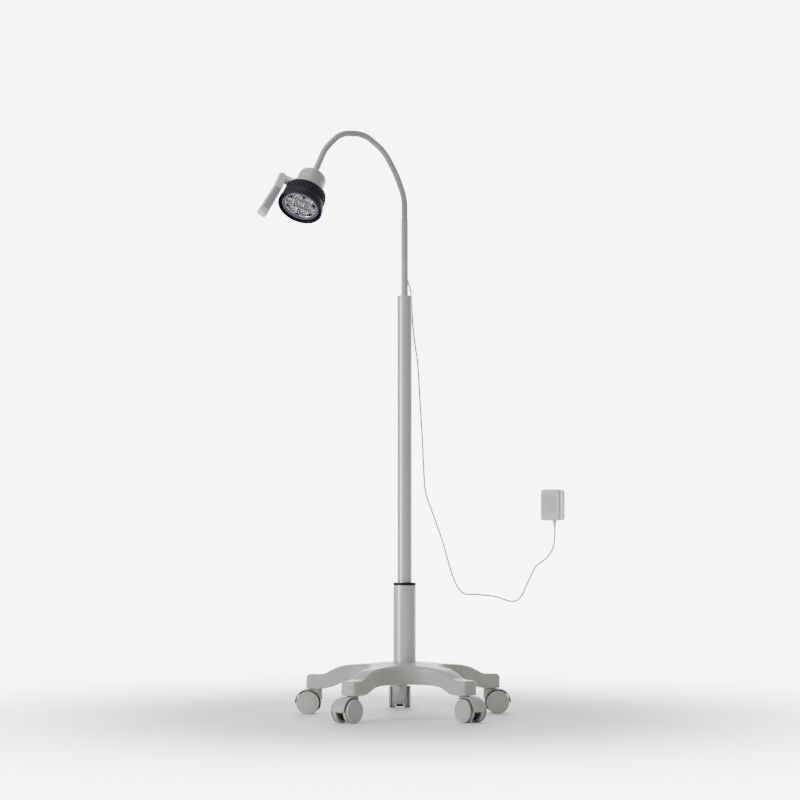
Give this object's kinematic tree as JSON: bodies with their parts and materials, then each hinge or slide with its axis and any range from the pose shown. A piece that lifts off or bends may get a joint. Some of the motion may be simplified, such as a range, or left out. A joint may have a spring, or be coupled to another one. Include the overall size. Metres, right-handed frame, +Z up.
{
  "type": "surgical light",
  "caption": "Mobile surgical and examination light: focusable LED head with a side handle on a flexible neck, pole and five-leg caster base.",
  "frame": {"origin": "on the floor, under the axis of the column", "axes": "+Z up along the column, the lamp head hangs towards -X, the user stands at -Y"},
  "size_m": [0.6622, 0.4822, 1.271],
  "materials": {
    "base_plastic": "fine satin texture",
    "wheel_plastic": "satin",
    "column_paint": "satin silver-grey powder coat",
    "black_plastic": "satin",
    "steel": "plated",
    "guide_nylon": "plain",
    "neck_sleeve": "smooth sleeve",
    "housing_plastic": "semi gloss",
    "ring_plastic": "satin",
    "trim_plastic": "satin",
    "reflector": "mirror-bright",
    "lens_clear": "clear",
    "board_green": "solder mask",
    "board_white": "white solder mask",
    "chip": "phosphor",
    "sink_aluminium": "machined",
    "pad_plastic": "fine ribs",
    "cord_jacket": "smooth jacket",
    "adapter_plastic": "fine texture",
    "pin_nickel": "nickel-plated"
  },
  "bodies": {
    "base": {"star_base": "base_plastic", "caster_sockets": "steel", "column_tube": "column_paint", "column_collar": "black_plastic", "column_plug": "steel"},
    "caster_1": {"caster_1_hood": "wheel_plastic", "caster_1_pins": "steel"},
    "wheel_1a": {"caster_1_wheel_a": "wheel_plastic"},
    "wheel_1b": {"caster_1_wheel_b": "wheel_plastic"},
    "caster_2": {"caster_2_hood": "wheel_plastic", "caster_2_pins": "steel"},
    "wheel_2a": {"caster_2_wheel_a": "wheel_plastic"},
    "wheel_2b": {"caster_2_wheel_b": "wheel_plastic"},
    "caster_3": {"caster_3_hood": "wheel_plastic", "caster_3_pins": "steel"},
    "wheel_3a": {"caster_3_wheel_a": "wheel_plastic"},
    "wheel_3b": {"caster_3_wheel_b": "wheel_plastic"},
    "caster_4": {"caster_4_hood": "wheel_plastic", "caster_4_pins": "steel"},
    "wheel_4a": {"caster_4_wheel_a": "wheel_plastic"},
    "wheel_4b": {"caster_4_wheel_b": "wheel_plastic"},
    "caster_5": {"caster_5_hood": "wheel_plastic", "caster_5_pins": "steel"},
    "wheel_5a": {"caster_5_wheel_a": "wheel_plastic"},
    "wheel_5b": {"caster_5_wheel_b": "wheel_plastic"},
    "lift": {"pole_guide": "guide_nylon", "power_cord": "cord_jacket", "adapter_relief": "adapter_plastic", "adapter_front": "adapter_plastic", "adapter_back": "adapter_plastic", "plug_pins": "pin_nickel"},
    "pole": {"pole_tube": "column_paint", "pole_cap": "column_paint", "neck_post": "column_paint", "power_inlet": "black_plastic"},
    "link_1": {"neck_link_1": "neck_sleeve"},
    "link_2": {"neck_link_2": "neck_sleeve"},
    "link_3": {"neck_link_3": "neck_sleeve"},
    "link_4": {"neck_link_4": "neck_sleeve"},
    "link_5": {"neck_link_5": "neck_sleeve"},
    "link_6": {"neck_link_6": "neck_sleeve"},
    "head": {"neck_end": "neck_sleeve", "head_shell": "housing_plastic", "heat_sink": "sink_aluminium", "driver_board": "board_green", "led_board": "board_white", "led_chips": "chip", "trim_ring": "trim_plastic", "board_screws": "steel", "handle_bracket": "housing_plastic", "handle_grip": "housing_plastic", "grip_pads": "pad_plastic"},
    "focus_ring": {"focus_ring": "ring_plastic"},
    "lens_carrier": {"lens_holder": "reflector", "lens_array": "lens_clear"},
    "dimmer": {"dimmer_knob": "housing_plastic"}
  },
  "joints": [
    {"name": "caster_1_swivel", "type": "hinge", "parent": "base", "child": "caster_1", "pos_m": [-0.10893, -0.16773, 0.056], "axis": [0, 0, 1], "continuous": true},
    {"name": "wheel_1a_spin", "type": "hinge", "parent": "caster_1", "child": "wheel_1a", "pos_m": [-0.12082, -0.18191, 0.025], "axis": [0.766, -0.6428, 0], "continuous": true},
    {"name": "wheel_1b_spin", "type": "hinge", "parent": "caster_1", "child": "wheel_1b", "pos_m": [-0.12082, -0.18191, 0.025], "axis": [0.766, -0.6428, 0], "continuous": true},
    {"name": "caster_2_swivel", "type": "hinge", "parent": "base", "child": "caster_2", "pos_m": [0.12586, -0.15543, 0.056], "axis": [0, 0, 1], "continuous": true},
    {"name": "wheel_2a_spin", "type": "hinge", "parent": "caster_2", "child": "wheel_2a", "pos_m": [0.13776, -0.1696, 0.025], "axis": [0.766, 0.6428, 0], "continuous": true},
    {"name": "wheel_2b_spin", "type": "hinge", "parent": "caster_2", "child": "wheel_2b", "pos_m": [0.13776, -0.1696, 0.025], "axis": [0.766, 0.6428, 0], "continuous": true},
    {"name": "caster_3_swivel", "type": "hinge", "parent": "base", "child": "caster_3", "pos_m": [0.18672, 0.07167, 0.056], "axis": [0, 0, 1], "continuous": true},
    {"name": "wheel_3a_spin", "type": "hinge", "parent": "caster_3", "child": "wheel_3a", "pos_m": [0.20522, 0.07167, 0.025], "axis": [0, 1, 0], "continuous": true},
    {"name": "wheel_3b_spin", "type": "hinge", "parent": "caster_3", "child": "wheel_3b", "pos_m": [0.20522, 0.07167, 0.025], "axis": [0, 1, 0], "continuous": true},
    {"name": "caster_4_swivel", "type": "hinge", "parent": "base", "child": "caster_4", "pos_m": [-0.01047, 0.19973, 0.056], "axis": [0, 0, 1], "continuous": true},
    {"name": "wheel_4a_spin", "type": "hinge", "parent": "caster_4", "child": "wheel_4a", "pos_m": [-0.01047, 0.21823, 0.025], "axis": [-1, 0, 0], "continuous": true},
    {"name": "wheel_4b_spin", "type": "hinge", "parent": "caster_4", "child": "wheel_4b", "pos_m": [-0.01047, 0.21823, 0.025], "axis": [-1, 0, 0], "continuous": true},
    {"name": "caster_5_swivel", "type": "hinge", "parent": "base", "child": "caster_5", "pos_m": [-0.19318, 0.05176, 0.056], "axis": [0, 0, 1], "continuous": true},
    {"name": "wheel_5a_spin", "type": "hinge", "parent": "caster_5", "child": "wheel_5a", "pos_m": [-0.21169, 0.05176, 0.025], "axis": [0, -1, 0], "continuous": true},
    {"name": "wheel_5b_spin", "type": "hinge", "parent": "caster_5", "child": "wheel_5b", "pos_m": [-0.21169, 0.05176, 0.025], "axis": [0, -1, 0], "continuous": true},
    {"name": "column_lift", "type": "slide", "parent": "base", "child": "lift", "axis": [0, 0, 1], "range_m": [0, 0.1]},
    {"name": "pole_swivel", "type": "hinge", "parent": "lift", "child": "pole", "pos_m": [0, 0, 0.3], "axis": [0, 0, 1], "range_deg": [-175, 175]},
    {"name": "neck_bend_1", "type": "hinge", "parent": "pole", "child": "link_1", "pos_m": [0, 0, 1.102], "axis": [0.2419, -0.9703, 0], "range_deg": [-20, 15]},
    {"name": "neck_bend_2", "type": "hinge", "parent": "link_1", "child": "link_2", "pos_m": [-0.00953, -0.00238, 1.15669], "axis": [0.8627, 0.3763, 0.3378], "range_deg": [-20, 20]},
    {"name": "neck_bend_3", "type": "hinge", "parent": "link_2", "child": "link_3", "pos_m": [-0.03228, -0.00885, 1.20733], "axis": [0.4491, -0.8882, 0.0965], "range_deg": [-20, 15]},
    {"name": "neck_bend_4", "type": "hinge", "parent": "link_3", "child": "link_4", "pos_m": [-0.06693, -0.02189, 1.2485], "axis": [0.4555, 0.4141, 0.7881], "range_deg": [-20, 20]},
    {"name": "neck_bend_5", "type": "hinge", "parent": "link_4", "child": "link_5", "pos_m": [-0.11332, -0.04555, 1.26378], "axis": [0.4968, -0.8604, 0.1141], "range_deg": [-20, 15]},
    {"name": "neck_bend_6", "type": "hinge", "parent": "link_5", "child": "link_6", "pos_m": [-0.15523, -0.07258, 1.24238], "axis": [-0.8043, 0.3324, 0.4926], "range_deg": [-20, 20]},
    {"name": "neck_bend_7", "type": "hinge", "parent": "link_6", "child": "head", "pos_m": [-0.17983, -0.09952, 1.20047], "axis": [-0.012, -0.8379, 0.5457], "range_deg": [-25, 20]},
    {"name": "focus_turn", "type": "hinge", "parent": "head", "child": "focus_ring", "pos_m": [-0.21467, -0.16355, 1.10139], "axis": [-0.2833, -0.5205, -0.8055], "range_deg": [0, 90]},
    {"name": "lens_travel", "type": "slide", "parent": "head", "child": "lens_carrier", "axis": [0.2833, 0.5205, 0.8055], "range_m": [0, 0.004]},
    {"name": "dimmer_turn", "type": "hinge", "parent": "head", "child": "dimmer", "pos_m": [-0.25691, -0.16429, 1.15522], "axis": [0.2833, 0.5205, 0.8055], "range_deg": [0, 270]}
  ],
  "couplings": [
    {"joint": "lens_travel", "follows": "focus_turn", "m_per_rad": 0.0025439}
  ]
}
